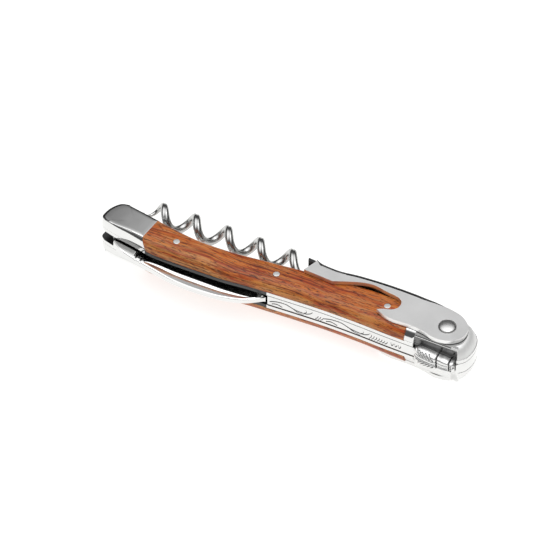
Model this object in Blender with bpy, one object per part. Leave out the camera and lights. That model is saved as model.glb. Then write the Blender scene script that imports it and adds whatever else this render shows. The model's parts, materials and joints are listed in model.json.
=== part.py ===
"""Waiter's corkscrew: a one-stage lever with a cap hook, a five-turn worm and a folding foil blade.

Metres, +Z up. The corkscrew lies folded on its side. The plan used below is in millimetres:
X runs from the tail to the head, Y from the back (spring, blade, bee) to the belly (worm, lever),
and Z is measured from the mid-plane of the handle. The root empty carries the plan to the world.
"""

import math

import bmesh
import bpy
from mathutils import Vector

MM = 0.001

# Where the plan lies in the world: the middle of the overall box, and the height of the mid-plane.
PLAN_CENTRE = (58.4, 4.675)
MID_PLANE_HEIGHT = 9.0

# The layers of the handle, as heights from the mid-plane.
CLEAR = 0.1
SLOT_HALF = 1.85
SPRING_HALF = 1.75
LINER_TOP = 3.1
SCALE_FOOT = LINER_TOP + CLEAR
HANDLE_HALF = 6.5
FLANGE_FOOT = 6.7
FLANGE_TOP = 8.0

# Joint axes in plan.
LEVER_PIVOT = (108.1, 4.5)
WORM_PIVOT = (70.0, 7.5)
BLADE_PIVOT = (5.9, 2.4)

# Lengthwise stations of the handle.
WOOD_START = 14.6
WOOD_END = 97.2
JOINT_SLANT = 0.11
JOINT_UNDERCUT = 0.6
JOINT_Y = 5.4
BOLSTER_GAP = 0.1
BARREL_START = 1.0
BARREL_TRIM = 2.8
BELLY_CROWN = 0.7
TAIL_CENTRE = (7.0, 3.4)
TAIL_LEAN = 1.4
TAIL_TRIM = 0.3
CROWN_WIDTH = 3.2
CROWN_WIDTH_AT_ENDS = 2.0
SCALLOP_START = 100.6
SCALLOP_END = 114.2
HEAD_PIVOT_STATION = 108.5

# Rivets and pins.
LEVER_RIVET_RADIUS = 2.0
LEVER_RIVET_HEAD_RADIUS = 2.65
LEVER_RIVET_HEAD_HEIGHT = 0.9
PIVOT_PIN_RADIUS = 1.2
BLADE_PIN_HALF = 5.2
SCALE_PIN_RADIUS = 1.0
SCALE_PINS = {"rear": (23.3, 1.06), "middle": (54.6, 2.5), "front": (88.5, 5.5)}
SPRING_PIN_RADIUS = 0.9
SPRING_PINS = {"rear": (60.5, -0.2), "front": (97.5, 0.3)}

# The worm: a right-handed helix about a line along X.
WORM_AXIS_Y = 14.37
WORM_RADIUS = 2.75
WIRE_RADIUS = 1.15
WORM_PITCH = 10.33
WORM_TIP_X = 6.2
WORM_PEAK_X = 52.68
WORM_PEAK_ANGLE = math.radians(48.4)
WORM_RUNOUT = (53.3, 59.3)
WORM_DROP = (53.0, 65.0)
WIRE_SIDES = 10
WIRE_STEPS_PER_TURN = 22
EYE_RADIUS = 2.6

# The foil blade.
BLADE_HALF = 1.2
BLADE_EDGE_HALF = 0.2
BLADE_TANG_RADIUS = 2.3

BEE_START = 101.0
BEE_BASE = -1.2
SEAT = -1.1

MATERIALS = {
    "mirror_steel": ((0.62, 0.62, 0.61), 1.0, 0.12),
    "satin_steel": ((0.55, 0.55, 0.54), 1.0, 0.34),
    "rosewood": ((0.42, 0.13, 0.04), 0.0, 0.28),
}


# Curves


def edge(points):
    """A smooth edge y(x) through points in order of x, as a cubic Hermite curve."""
    slopes = []
    for i in range(len(points)):
        before = points[max(i - 1, 0)]
        after = points[min(i + 1, len(points) - 1)]
        slopes.append((after[1] - before[1]) / (after[0] - before[0]))

    def height(x):
        i = 0
        while i < len(points) - 2 and x > points[i + 1][0]:
            i += 1
        (x0, y0), (x1, y1) = points[i], points[i + 1]
        span = x1 - x0
        t = min(max((x - x0) / span, 0.0), 1.0)
        rise = y0 * (2 * t**3 - 3 * t**2 + 1) + y1 * (3 * t**2 - 2 * t**3)
        return rise + span * (slopes[i] * (t**3 - 2 * t**2 + t) + slopes[i + 1] * (t**3 - t**2))

    return height


def smooth(points, steps=3):
    """Points on a Catmull-Rom curve through the given points, ends included."""
    ends = [points[0]] + list(points) + [points[-1]]
    curve = []
    for a, b, c, d in zip(ends, ends[1:], ends[2:], ends[3:]):
        for step in range(steps):
            t = step / steps
            point = []
            for p, q, r, s in zip(a, b, c, d):
                square = 2 * p - 5 * q + 4 * r - s
                cube = 3 * q - p - 3 * r + s
                point.append(0.5 * (2 * q + (r - p) * t + square * t**2 + cube * t**3))
            curve.append(tuple(point))
    curve.append(tuple(points[-1]))
    return curve


def along(height, start, end, count):
    """Points on an edge at evenly spaced x."""
    stations = [start + (end - start) * i / count for i in range(count + 1)]
    return [(x, height(x)) for x in stations]


def shifted(height, by):
    return lambda x: height(x) + by


def circle(centre, radius, count, start=0.0, end=math.tau):
    """Points on an arc, the last left out when the arc is a full circle."""
    full = abs(end - start) >= math.tau
    steps = count if full else count - 1
    angles = [start + (end - start) * i / steps for i in range(count)]
    return [(centre[0] + radius * math.cos(a), centre[1] + radius * math.sin(a)) for a in angles]


# The handle's outline at the slot

HANDLE_BACK = edge(
    [(0.9, -0.45), (4.6, -1.4), (9, -2.0), (12.8, -2.7), (17, -3.7), (22, -3.9), (28, -3.9), (40, -3.55)]
    + [(48, -2.75), (56, -2.25), (64, -1.8), (72, -1.45), (82, -1.45), (92, -1.75), (98, -1.8)]
)
HANDLE_BELLY = edge(
    [(4.7, 8.5), (9, 7.9), (14.8, 7.1), (19, 6.6), (26, 5.8), (31, 5.6), (40, 6.0), (48, 7.0)]
    + [(56, 8.0), (62, 8.8), (70, 9.6), (76, 10.1), (88, 10.7), (96, 10.9), (102, 11.4)]
    + [(HEAD_PIVOT_STATION, 12.0)]
)
TAIL_ROUND = smooth([(4.7, 8.5), (1.9, 7.7), (0.0, 5.0), (-0.7, 2.0), (-0.5, 0.65), (0.9, -0.45)])
HEAD_ROUND = smooth([(108.5, 12.0), (113.1, 10.9), (116.0, 8.0), (117.0, 3.9), (116.5, 0.2), (114.9, -2.0)])


def handle_outline():
    """The whole handle at the slot, belly first, with a shallow seat for the bee in its back."""
    belly = along(HANDLE_BELLY, 4.7, HEAD_PIVOT_STATION, 26)
    seat = [(SCALLOP_END + 0.1, HEAD_ROUND[-1][1]), (SCALLOP_END, SEAT), (SCALLOP_START, SEAT)]
    back = along(HANDLE_BACK, SCALLOP_START - 0.3, 0.9, 28)
    return belly[:-1] + HEAD_ROUND + seat + back[:-1] + TAIL_ROUND[-1:0:-1]


# Solids


def material(name):
    found = bpy.data.materials.get(name)
    if found:
        return found
    colour, metallic, roughness = MATERIALS[name]
    made = bpy.data.materials.new(name)
    made.use_nodes = True
    made.diffuse_color = (*colour, 1.0)
    shader = made.node_tree.nodes["Principled BSDF"]
    shader.inputs["Base Color"].default_value = (*colour, 1.0)
    shader.inputs["Metallic"].default_value = metallic
    shader.inputs["Roughness"].default_value = roughness
    return made


def add_object(name, bm, origin, material_name):
    """A named object from plan-millimetre geometry, with its origin at the given plan point."""
    bmesh.ops.recalc_face_normals(bm, faces=bm.faces)
    for vertex in bm.verts:
        vertex.co = (vertex.co - Vector(origin)) * MM
    mesh = bpy.data.meshes.new(name)
    bm.to_mesh(mesh)
    bm.free()
    mesh.shade_smooth()
    mesh.set_sharp_from_angle(angle=math.radians(35))
    made = bpy.data.objects.new(name, mesh)
    bpy.context.scene.collection.objects.link(made)
    if material_name:
        mesh.materials.append(material(material_name))
    made.parent = bpy.data.objects["corkscrew"]
    made.location = Vector(origin) * MM
    return made


def loft(name, rings, material_name, origin=(0, 0, 0)):
    """A solid skinned over rings of equal length, with both ends capped."""
    bm = bmesh.new()
    rows = [[bm.verts.new(point) for point in ring] for ring in rings]
    for low, high in zip(rows, rows[1:]):
        for i in range(len(low)):
            j = (i + 1) % len(low)
            bm.faces.new((low[i], low[j], high[j], high[i]))
    bm.faces.new(rows[0][::-1])
    bm.faces.new(rows[-1])
    return add_object(name, bm, origin, material_name)


def plate(name, outline, low, high, material_name, origin=(0, 0, 0)):
    """A flat solid of the given outline between two heights."""
    rings = [[(x, y, z) for x, y in outline] for z in (low, high)]
    return loft(name, rings, material_name, origin)


def rod(name, centre, radius, low, high, material_name, sides=20, origin=(0, 0, 0)):
    return plate(name, circle(centre, radius, sides), low, high, material_name, origin)


def cutter(name, outline, low, high):
    """A guide that only cuts."""
    made = plate("cut_" + name, outline, low, high, None)
    made.hide_render = True
    made.display_type = "WIRE"
    return made


def combine(target, other, operation):
    modifier = target.modifiers.new(other.name, "BOOLEAN")
    modifier.operation = operation
    modifier.object = other


def cut(target, *tools):
    for tool in tools:
        combine(target, tool, "DIFFERENCE")


def mirrored(points, side):
    """The same ring on the side of the mid-plane that the sign gives."""
    return [(x, y, z * side) for x, y, z in points]


# Handle


def add_liners(holes):
    for side, label in ((1, "top"), (-1, "bottom")):
        low, high = sorted((SLOT_HALF * side, LINER_TOP * side))
        liner = plate("liner_" + label, handle_outline(), low, high, "mirror_steel")
        cut(liner, *holes)


def crown_width(x):
    """How far in from a long edge the rounding of the wood reaches."""
    middle = min((x - WOOD_START) / 12.0, (WOOD_END - x) / 12.0, 1.0)
    return CROWN_WIDTH_AT_ENDS + (CROWN_WIDTH - CROWN_WIDTH_AT_ENDS) * max(middle, 0.0)


def tail_joint(height, z, inset):
    """Where an edge of the handle, drawn in by an inset, meets the slanted joint behind the tail bolster."""
    x = WOOD_START
    for _ in range(6):
        y = height(x) + inset
        x = WOOD_START + JOINT_SLANT * (y - JOINT_Y) + JOINT_UNDERCUT * (HANDLE_HALF - z)
    return x


def scale_ring(z, inset):
    """The wood at one height, its long edges drawn in by a share of the crown's width."""
    count = 22
    sides = []
    for height, share in ((HANDLE_BACK, inset), (HANDLE_BELLY, -BELLY_CROWN * inset)):
        start = tail_joint(height, z, share * crown_width(WOOD_START))
        stations = [start + (WOOD_END - start) * i / count for i in range(count + 1)]
        side = [(x, height(x) + share * crown_width(x), z) for x in stations]
        side[0] = (start, height(start) + share * crown_width(WOOD_START), z)
        sides.append(side)
    return sides[0] + sides[1][::-1]


def add_scales(pin_holes, worm_hole):
    """Wooden scales whose long edges are rounded in quarter ellipses."""
    rise = HANDLE_HALF - SCALE_FOOT
    angles = [math.radians(a) for a in (0, 22, 42, 62, 90)]
    for side, label in ((1, "top"), (-1, "bottom")):
        rings = [mirrored(scale_ring(SCALE_FOOT + rise * math.sin(a), 1 - math.cos(a)), side) for a in angles]
        scale = loft("scale_" + label, rings, "rosewood")
        cut(scale, *pin_holes, worm_hole)


def tail_bolster_ring(z, lean, trim):
    """The tail bolster at one height, drawn in by trim, and by lean more where it meets the wood."""
    back_inset = trim + lean
    belly_inset = trim + BELLY_CROWN * lean
    belly_end = tail_joint(HANDLE_BELLY, z, -belly_inset) - BOLSTER_GAP
    back_end = tail_joint(HANDLE_BACK, z, back_inset) - BOLSTER_GAP
    outline = []
    for x, y in along(HANDLE_BELLY, 4.7, belly_end, 6):
        outline.append((x, y - trim - (belly_inset - trim) * (x / belly_end)))
    for x, y in along(HANDLE_BACK, back_end, 0.9, 8):
        outline.append((x, y + trim + lean * (x / back_end)))
    for x, y in TAIL_ROUND[-2:0:-1]:
        away = Vector((x - TAIL_CENTRE[0], y - TAIL_CENTRE[1])).normalized() * trim
        outline.append((x - away.x, y - away.y))
    return [(x, y, z) for x, y in outline]


def add_tail_bolsters(holes):
    """Tail bolsters whose edges are rounded like the wood they continue."""
    rise = HANDLE_HALF - SCALE_FOOT
    for side, label in ((1, "top"), (-1, "bottom")):
        rings = []
        for angle in (0, 20, 40, 60, 75, 90):
            height = SCALE_FOOT + rise * math.sin(math.radians(angle))
            share = 1 - math.cos(math.radians(angle))
            rings.append(mirrored(tail_bolster_ring(height, TAIL_LEAN * share, TAIL_TRIM * share), side))
        bolster = loft("tail_bolster_" + label, rings, "mirror_steel")
        cut(bolster, *holes)


def head_bolster_ring(z, scallop, trim):
    """The head bolster at one height. The scallop is hollowed beside the bee, out to the given y."""
    start = WOOD_END + BOLSTER_GAP
    belly = along(shifted(HANDLE_BELLY, -trim), start, HEAD_PIVOT_STATION, 5)
    round_end = []
    for x, y in HEAD_ROUND[1:]:
        away = Vector((x - LEVER_PIVOT[0], y - LEVER_PIVOT[1])).normalized() * trim
        round_end.append((x - away.x, y - away.y))
    corner_x, corner_y = round_end[-1]
    step = [(SCALLOP_END + 0.1 + 0.2 * (corner_x - SCALLOP_END), corner_y)]
    hollow = [(SCALLOP_END - i * (SCALLOP_END - SCALLOP_START) / 6, scallop) for i in range(7)]
    facet = [(SCALLOP_START - 0.3, HANDLE_BACK(SCALLOP_START) + trim), (start, HANDLE_BACK(start) + trim)]
    return [(x, y, z) for x, y in belly + round_end + step + hollow + facet]


def add_head_bolsters(holes):
    """Head bolsters with a barrel-shaped round end, hollowed beside the bee."""
    rise = HANDLE_HALF - BARREL_START
    levels = [(SCALE_FOOT, -1.0), (4.0, -1.0), (4.9, -1.1), (5.7, -1.2), (6.2, -1.15), (HANDLE_HALF, -0.9)]
    for side, label in ((1, "top"), (-1, "bottom")):
        rings = []
        for z, scallop in levels:
            trim = BARREL_TRIM * (1 - math.sqrt(max(1 - ((z - BARREL_START) / rise) ** 2, 0.0)))
            rings.append(mirrored(head_bolster_ring(z, scallop, trim), side))
        bolster = loft("head_bolster_" + label, rings, "mirror_steel")
        cut(bolster, *holes)


def add_head_spacer(holes):
    """Fills the slot at the head, under the spring, and closes the round end beyond the bee."""
    belly = along(HANDLE_BELLY, 99.4, HEAD_PIVOT_STATION, 5)
    seat = [(114.5, -2.7), (114.5, 1.0), (108.0, 2.3), (99.4, 2.3)]
    outline = belly[:-1] + HEAD_ROUND + seat
    spacer = plate("head_spacer", outline, -SPRING_HALF, SPRING_HALF, "mirror_steel")
    cut(spacer, *holes)


def add_back_spring(holes):
    """The spring shows along the back, and its arm runs in the slot under the folded blade."""
    back = along(shifted(HANDLE_BACK, -0.2), 54.3, 100.8, 14)
    under_bee = [(101.0, SEAT), (114.2, SEAT), (114.2, 0.8)]
    inside = [(107.8, 2.0), (99.0, 1.9), (88.0, 1.7), (70.0, 1.8)]
    belly_of_arm = smooth([(62.0, 2.4), (55.0, 3.9), (46.0, 4.7), (30.0, 4.8), (16.0, 4.9), (11.6, 5.4)])
    back_of_arm = smooth([(11.6, 3.4), (16.0, 3.0), (30.0, 2.7), (46.0, 2.3), (53.0, 1.2), (54.3, 0.2)])
    outline = back + under_bee + inside + belly_of_arm + back_of_arm
    spring = plate("back_spring", outline, -SPRING_HALF, SPRING_HALF, "mirror_steel")
    cut(spring, *holes)


def add_bee():
    """A domed bee across the head of the spring. Stations are x, half width and height."""
    wings = [(0.0, 2.0, 1.0), (1.0, 2.8, 1.6), (2.6, 3.0, 2.2), (4.6, 2.6, 2.5), (6.6, 2.2, 2.6)]
    body = [(7.8, 1.9, 2.2), (9.4, 1.95, 2.4), (11.2, 1.7, 2.2), (12.3, 1.5, 1.9), (13.0, 1.0, 1.2)]
    arc = [math.pi * i / 8 for i in range(9)]
    rings = []
    for offset, half_width, height in wings + body:
        x = BEE_START + offset
        dome = [(x, BEE_BASE - height * math.sin(a) ** 0.8, half_width * math.cos(a)) for a in arc]
        rings.append(dome)
    loft("bee", rings, "satin_steel")


# Moving pieces


def blade_rings():
    """Four-cornered sections of the blade along X: two at the spine and two at the thin edge."""
    rising = [(4.7, -2.5), (8.1, -4.5), (13.9, -6.1), (20, -7.2), (26, -8.3), (31, -8.6)]
    spine = edge(rising + [(37, -8.45), (42, -7.9), (48.3, -6.0), (53.7, -2.3)])
    belly = edge([(12.6, 1.9), (20, 1.8), (34, 1.4), (44, 0.6), (50, -0.6), (53.7, -2.0)])
    px, py = BLADE_PIVOT
    rings = []
    for x in (3.75, 4.0, 4.7, 5.9, 7.1, 8.0, 9.2, 10.6, 11.2):
        reach = math.sqrt(max(BLADE_TANG_RADIUS**2 - (x - px) ** 2, 0.0)) if x < px else BLADE_TANG_RADIUS
        low = spine(x) if x >= 4.7 else py - 1.2 - 3.7 * math.sqrt(max(x - 3.65, 0.0) / 1.05)
        high = py + reach if x < 9.0 else py + BLADE_TANG_RADIUS - 2.2 * (x - 8.0) / 3.2
        rings.append((x, low, high, BLADE_HALF, BLADE_HALF))
    rings.append((12.4, spine(12.4), 1.0, BLADE_HALF, BLADE_HALF))
    rings.append((12.7, spine(12.7), 1.9, BLADE_HALF, BLADE_EDGE_HALF))
    count = 14
    for i in range(1, count + 1):
        x = 12.7 + (53.5 - 12.7) * i / count
        rings.append((x, spine(x), belly(x), BLADE_HALF * (1.0 - 0.35 * (i / count) ** 3), BLADE_EDGE_HALF))
    sections = []
    for x, low, high, low_half, high_half in rings:
        spine_side = [(x, low, -low_half), (x, low, low_half)]
        edge_side = [(x, high, high_half), (x, high, -high_half)]
        sections.append(spine_side + edge_side)
    return sections


def add_blade(hole):
    """The foil blade, folded spine outwards. Its origin is on its pivot."""
    blade = loft("blade", blade_rings(), "mirror_steel", (*BLADE_PIVOT, 0))
    cut(blade, hole)


def worm_centre(x):
    """The centre of the wire at x: a helix that eases out to its near side, then slopes to the eye."""
    turn = math.tau / WORM_PITCH
    start, end = WORM_RUNOUT
    if x < start:
        angle = WORM_PEAK_ANGLE + (x - WORM_PEAK_X) * turn
    else:
        t = min((x - start) / (end - start), 1.0)
        first = WORM_PEAK_ANGLE + (start - WORM_PEAK_X) * turn
        lead = turn * (end - start) * (t**3 - 2 * t**2 + t)
        angle = first * (2 * t**3 - 3 * t**2 + 1) + math.pi * (3 * t**2 - 2 * t**3) + lead
    share = max(0.0, min((x - WORM_DROP[0]) / (WORM_DROP[1] - WORM_DROP[0]), 1.0))
    drop = (WORM_AXIS_Y - WORM_RADIUS - WORM_PIVOT[1]) * (3 * share**2 - 2 * share**3)
    grown = min(1.0, 0.35 + 0.65 * math.sqrt(max(x - WORM_TIP_X, 0.0) / 2.5))
    radius = WORM_RADIUS * grown
    return Vector((x, WORM_AXIS_Y + radius * math.cos(angle) - drop, radius * math.sin(angle)))


def wire_radius(x):
    return WIRE_RADIUS * min(1.0, 0.12 + 0.88 * (max(x - WORM_TIP_X, 0.0) / 7.0) ** 0.7)


def worm_rings():
    """Round sections square to the wire, turned as little as possible from one to the next."""
    step = WORM_PITCH / WIRE_STEPS_PER_TURN
    stations = []
    x = WORM_TIP_X
    while x < WORM_RUNOUT[1]:
        stations.append(x)
        x += step
    stations += [60.4, 61.5, 62.6, 63.7, WORM_PIVOT[0] - 4.9, WORM_PIVOT[0] - 1.0]
    rings = []
    side = Vector((0.0, 1.0, 0.0))
    for x in stations:
        forward = (worm_centre(x + 0.01) - worm_centre(x - 0.01)).normalized()
        side = (side - forward * side.dot(forward)).normalized()
        other = forward.cross(side)
        radius = wire_radius(x)
        ring = []
        for i in range(WIRE_SIDES):
            angle = math.tau * i / WIRE_SIDES
            ring.append(worm_centre(x) + (side * math.cos(angle) + other * math.sin(angle)) * radius)
        rings.append(ring)
    return rings


def add_worm(hole):
    """The worm and its eye, which turns on a pin in the slot. Its origin is on that pin."""
    origin = (*WORM_PIVOT, 0)
    worm = loft("worm", worm_rings(), "mirror_steel", origin)
    eye = rod("cut_worm_eye", WORM_PIVOT, EYE_RADIUS, -SPRING_HALF, SPRING_HALF, None)
    eye.hide_render = True
    eye.display_type = "WIRE"
    combine(worm, eye, "UNION")
    cut(worm, hole)


def lever_outline():
    """The lever seen from the side: web line, round end, underside, cap hook and foot."""
    web = [(61.3, 11.4), (64.0, 11.6), (70.4, 11.5), (76.7, 12.4), (85.0, 13.0), (93.6, 13.1), (100.5, 12.7)]
    round_end = [(105.5, 11.6), (109.6, 10.3), (112.2, 8.6), (113.7, 6.8), (114.1, 4.1), (113.2, 1.6)]
    underside = [(110.7, -0.4), (106.9, -1.1), (102.5, -0.1), (98.5, 0.3), (93.0, 0.1), (89.7, 0.6)]
    tooth = (87.0, 1.7)
    throat = [(88.8, 2.7), (90.6, 3.3), (91.8, 4.3), (92.3, 5.5), (92.2, 7.0), (91.5, 8.0), (89.9, 8.75)]
    waist = [(86.5, 9.2), (81.9, 9.9), (78.1, 9.1), (74.0, 7.4), (70.8, 5.9)]
    foot = [(61.4, 6.4), (61.6, 7.4), (62.1, 8.4), (62.0, 10.0)]
    return smooth(web + round_end + underside + [tooth])[:-1] + smooth([tooth] + throat + waist) + foot


def add_lever(hole):
    """One bent sheet: two flanges astride the handle, joined by a web. Its origin is on its rivet."""
    origin = (*LEVER_PIVOT, 0)
    lever = plate("lever", lever_outline(), -FLANGE_TOP, FLANGE_TOP, "satin_steel", origin)
    under_web = [(59.0, 10.2), (64.0, 10.3), (70.4, 10.2), (76.7, 11.1), (85.0, 11.7), (93.6, 11.8)]
    web_end = [(98.4, 11.6), (98.8, 13.0), (99.2, 16.0)]
    outside = [(122.0, 16.0), (122.0, -6.0), (59.0, -6.0)]
    channel = cutter("lever_channel", smooth(under_web + web_end) + outside, -FLANGE_FOOT, FLANGE_FOOT)
    cut(lever, channel, hole)


# Fasteners


def add_lever_rivet():
    """A rivet through the head, with a domed head on each flange."""
    profile = [(LEVER_RIVET_RADIUS, 0.0), (LEVER_RIVET_RADIUS, FLANGE_TOP + CLEAR)]
    foot = FLANGE_TOP + CLEAR
    for i in range(5):
        angle = math.radians(90 * i / 5)
        height = foot + LEVER_RIVET_HEAD_HEIGHT * math.sin(angle)
        profile.append((LEVER_RIVET_HEAD_RADIUS * math.cos(angle), height))
    profile.append((0.3, foot + LEVER_RIVET_HEAD_HEIGHT))
    full = [(r, -z) for r, z in profile[:0:-1]] + profile[1:]
    rings = [[(x, y, z) for x, y in circle(LEVER_PIVOT, r, 24)] for r, z in full]
    loft("lever_rivet", rings, "satin_steel")


def add_pins():
    rod("blade_pivot_pin", BLADE_PIVOT, PIVOT_PIN_RADIUS, -BLADE_PIN_HALF, BLADE_PIN_HALF, "satin_steel")
    rod("worm_pivot_pin", WORM_PIVOT, PIVOT_PIN_RADIUS, -HANDLE_HALF, HANDLE_HALF, "satin_steel")
    for label, centre in SPRING_PINS.items():
        rod("spring_pin_" + label, centre, SPRING_PIN_RADIUS, -LINER_TOP, LINER_TOP, "satin_steel", 16)
    for label, centre in SCALE_PINS.items():
        rod("scale_pin_top_" + label, centre, SCALE_PIN_RADIUS, SLOT_HALF, HANDLE_HALF, "satin_steel", 16)
        rod("scale_pin_bottom_" + label, centre, SCALE_PIN_RADIUS, -HANDLE_HALF, -SLOT_HALF, "satin_steel", 16)


def hole_cutter(name, centre, radius, half):
    return cutter(name, circle(centre, radius + CLEAR, 20), -half, half)


def main():
    for old in list(bpy.data.objects):
        bpy.data.objects.remove(old)
    root = bpy.data.objects.new("corkscrew", None)
    root.location = Vector((-PLAN_CENTRE[0], -PLAN_CENTRE[1], MID_PLANE_HEIGHT)) * MM
    bpy.context.scene.collection.objects.link(root)

    through = HANDLE_HALF + 3.0
    rivet_hole = hole_cutter("rivet_hole", LEVER_PIVOT, LEVER_RIVET_RADIUS, through)
    worm_hole = hole_cutter("worm_hole", WORM_PIVOT, PIVOT_PIN_RADIUS, through)
    blade_hole = hole_cutter("blade_hole", BLADE_PIVOT, PIVOT_PIN_RADIUS, BLADE_PIN_HALF + CLEAR)
    scale_holes = [hole_cutter("scale_hole_" + k, c, SCALE_PIN_RADIUS, through) for k, c in SCALE_PINS.items()]
    spring_holes = []
    above_liner = LINER_TOP + CLEAR / 2
    for label, centre in SPRING_PINS.items():
        spring_holes.append(hole_cutter("spring_hole_" + label, centre, SPRING_PIN_RADIUS, above_liner))

    add_liners([rivet_hole, worm_hole, blade_hole, *scale_holes, *spring_holes])
    add_scales(scale_holes, worm_hole)
    add_tail_bolsters([blade_hole])
    add_head_bolsters([rivet_hole])
    add_head_spacer([rivet_hole])
    add_back_spring(spring_holes)
    add_bee()
    add_blade(blade_hole)
    add_worm(worm_hole)
    add_lever(rivet_hole)
    add_lever_rivet()
    add_pins()


main()
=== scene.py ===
"""The looks of a folded waiter's corkscrew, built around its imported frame.

Shapes are drawn in the same plan as the frame, in millimetres: X from the tail to the head, Y from the
back to the belly, Z from the handle's mid-plane. The plan is placed by the lever's pivot.
"""

import json
import math

import bmesh
import bpy
import numpy as np
from mathutils import Matrix, Vector


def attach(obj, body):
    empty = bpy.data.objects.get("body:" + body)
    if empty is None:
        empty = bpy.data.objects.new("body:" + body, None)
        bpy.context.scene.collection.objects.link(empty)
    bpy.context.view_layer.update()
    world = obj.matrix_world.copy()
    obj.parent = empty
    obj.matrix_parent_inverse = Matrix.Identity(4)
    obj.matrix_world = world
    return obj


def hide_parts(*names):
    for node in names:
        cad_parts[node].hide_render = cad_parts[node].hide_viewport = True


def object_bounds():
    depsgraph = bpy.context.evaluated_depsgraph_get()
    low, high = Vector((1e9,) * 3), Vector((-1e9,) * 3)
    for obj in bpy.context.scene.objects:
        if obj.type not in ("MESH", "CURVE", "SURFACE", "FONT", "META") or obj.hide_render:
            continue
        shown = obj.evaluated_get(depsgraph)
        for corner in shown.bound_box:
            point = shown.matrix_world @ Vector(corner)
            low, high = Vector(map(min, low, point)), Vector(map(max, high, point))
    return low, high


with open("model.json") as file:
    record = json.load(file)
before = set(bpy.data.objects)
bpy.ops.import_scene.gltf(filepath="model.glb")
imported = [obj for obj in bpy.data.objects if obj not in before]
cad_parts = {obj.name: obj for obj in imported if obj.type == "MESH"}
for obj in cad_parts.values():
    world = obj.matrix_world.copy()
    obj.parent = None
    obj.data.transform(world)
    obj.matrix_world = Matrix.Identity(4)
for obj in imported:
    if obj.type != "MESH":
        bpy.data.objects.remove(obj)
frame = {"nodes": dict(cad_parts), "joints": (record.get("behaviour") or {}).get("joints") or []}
CAD_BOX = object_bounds()

MM = 0.001
LEVER_PIVOT = (108.1, 4.5)
WORM_PIVOT = (70.0, 7.5)
BLADE_PIVOT = (5.9, 2.4)
LEVER_JOINT = next(j for j in frame["joints"] if j["name"] == "lever_fold")
PLAN = Vector(LEVER_JOINT["pos_m"]) - Vector((*LEVER_PIVOT, 0.0)) * MM

# Layers, as heights from the mid-plane.
SLOT_HALF = 1.85
SPRING_HALF = 1.75
LINER_TOP = 3.1
SCALE_FOOT = 3.12
HANDLE_HALF = 6.5
FLANGE_FOOT = 6.7
FLANGE_TOP = 8.0

# Lengthwise stations.
WOOD_START = 14.6
PAINTED_SHADE_START = 15.5
SPRING_START = 54.3
WOOD_END = 97.2
SCALLOP_START = 100.6
BEE_START = 101.0
HEAD_STATION = 108.5
DRUM_START = 112.0
SCALLOP_END = 114.2

# The joint behind the tail cap: its lean along X for each mm of Y and of Z, and where it crosses WOOD_START.
JOINT_SLANT = 0.11
JOINT_UNDERCUT = 0.6
JOINT_Y = 5.4

# How far the wood's edges are drawn in at the ends and in the middle, and the belly side's share of it.
CROWN_END = 2.0
CROWN_GAIN = 1.2
CROWN_RUN = 12.0
BELLY_CROWN = 0.7

# The tail cap's rounding: all round its end, and more towards the wood.
TAIL_CENTRE = (7.0, 3.4)
TAIL_TRIM = 0.3
TAIL_LEAN = 1.4

# The head's barrel shape: the height where it starts, and how far its top is drawn in.
BARREL_START = 1.0
BARREL_TRIM = 2.8

# The lever's sheet: its outer bend, which fades out along the round end, and the lip at its foot.
BEND_RADIUS = 1.9
BEND_START = 62.5
BEND_FADE = 96.0
BEND_END = 110.0
BROKEN_EDGE = 0.14
LIP_HALF = 6.9
LIP_TRIM = [(58.0, 10.85), (63.05, 10.85), (63.05, 14.0), (58.0, 14.0)]

# The blade: its length along X, the ends of its round tang and its neck, and its thickness.
BLADE_START = 3.7
BLADE_TIP = 53.6
TANG_RADIUS = 2.3
TANG_END = 9.0
NECK_END = 12.4
BLADE_HALF = 1.2
BLADE_EDGE_HALF = 0.06

# The worm: even turns of wire about an axis, then the stretches where they run out and drop to the pin.
WORM_AXIS_Y = 14.37
WORM_RADIUS = 2.75
WIRE_RADIUS = 1.24
WORM_PITCH = 10.33
WORM_TIP_X = 6.2
WORM_PEAK_X = 52.68
WORM_PEAK_ANGLE = math.radians(48.4)
WORM_RUNOUT = (53.3, 59.3)
WORM_DROP = (53.0, 65.0)

SCALE_PINS = {"rear": (23.3, 1.06), "middle": (54.6, 2.5), "front": (88.5, 5.5)}

# The camera: how far it is turned from the back's side towards the head, its tilt, and what it takes in.
VIEW_TURN = math.radians(27.26)
VIEW_TILT = math.radians(45.0)
VIEW_DISTANCE = 5.0
VIEW_WIDTH = 0.15375854
VIEW_TARGET = (52.24, 3.06, HANDLE_HALF)


# Curves


def edge(points):
    """A smooth edge y(x) through points in order of x, as a cubic Hermite curve."""
    slopes = []
    for i in range(len(points)):
        before = points[max(i - 1, 0)]
        after = points[min(i + 1, len(points) - 1)]
        slopes.append((after[1] - before[1]) / (after[0] - before[0]))

    def height(x):
        i = 0
        while i < len(points) - 2 and x > points[i + 1][0]:
            i += 1
        (x0, y0), (x1, y1) = points[i], points[i + 1]
        span = x1 - x0
        t = min(max((x - x0) / span, 0.0), 1.0)
        rise = y0 * (2 * t**3 - 3 * t**2 + 1) + y1 * (3 * t**2 - 2 * t**3)
        return rise + span * (slopes[i] * (t**3 - 2 * t**2 + t) + slopes[i + 1] * (t**3 - t**2))

    return height


def smooth(points, steps=8):
    """Points on a Catmull-Rom curve through the given points, ends included."""
    ends = [points[0]] + list(points) + [points[-1]]
    curve = []
    for a, b, c, d in zip(ends, ends[1:], ends[2:], ends[3:]):
        for step in range(steps):
            t = step / steps
            point = []
            for p, q, r, s in zip(a, b, c, d):
                bent = (2 * p - 5 * q + 4 * r - s) * t**2 + (3 * q - p - 3 * r + s) * t**3
                point.append(0.5 * (2 * q + (r - p) * t + bent))
            curve.append(tuple(point))
    curve.append(tuple(points[-1]))
    return curve


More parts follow.
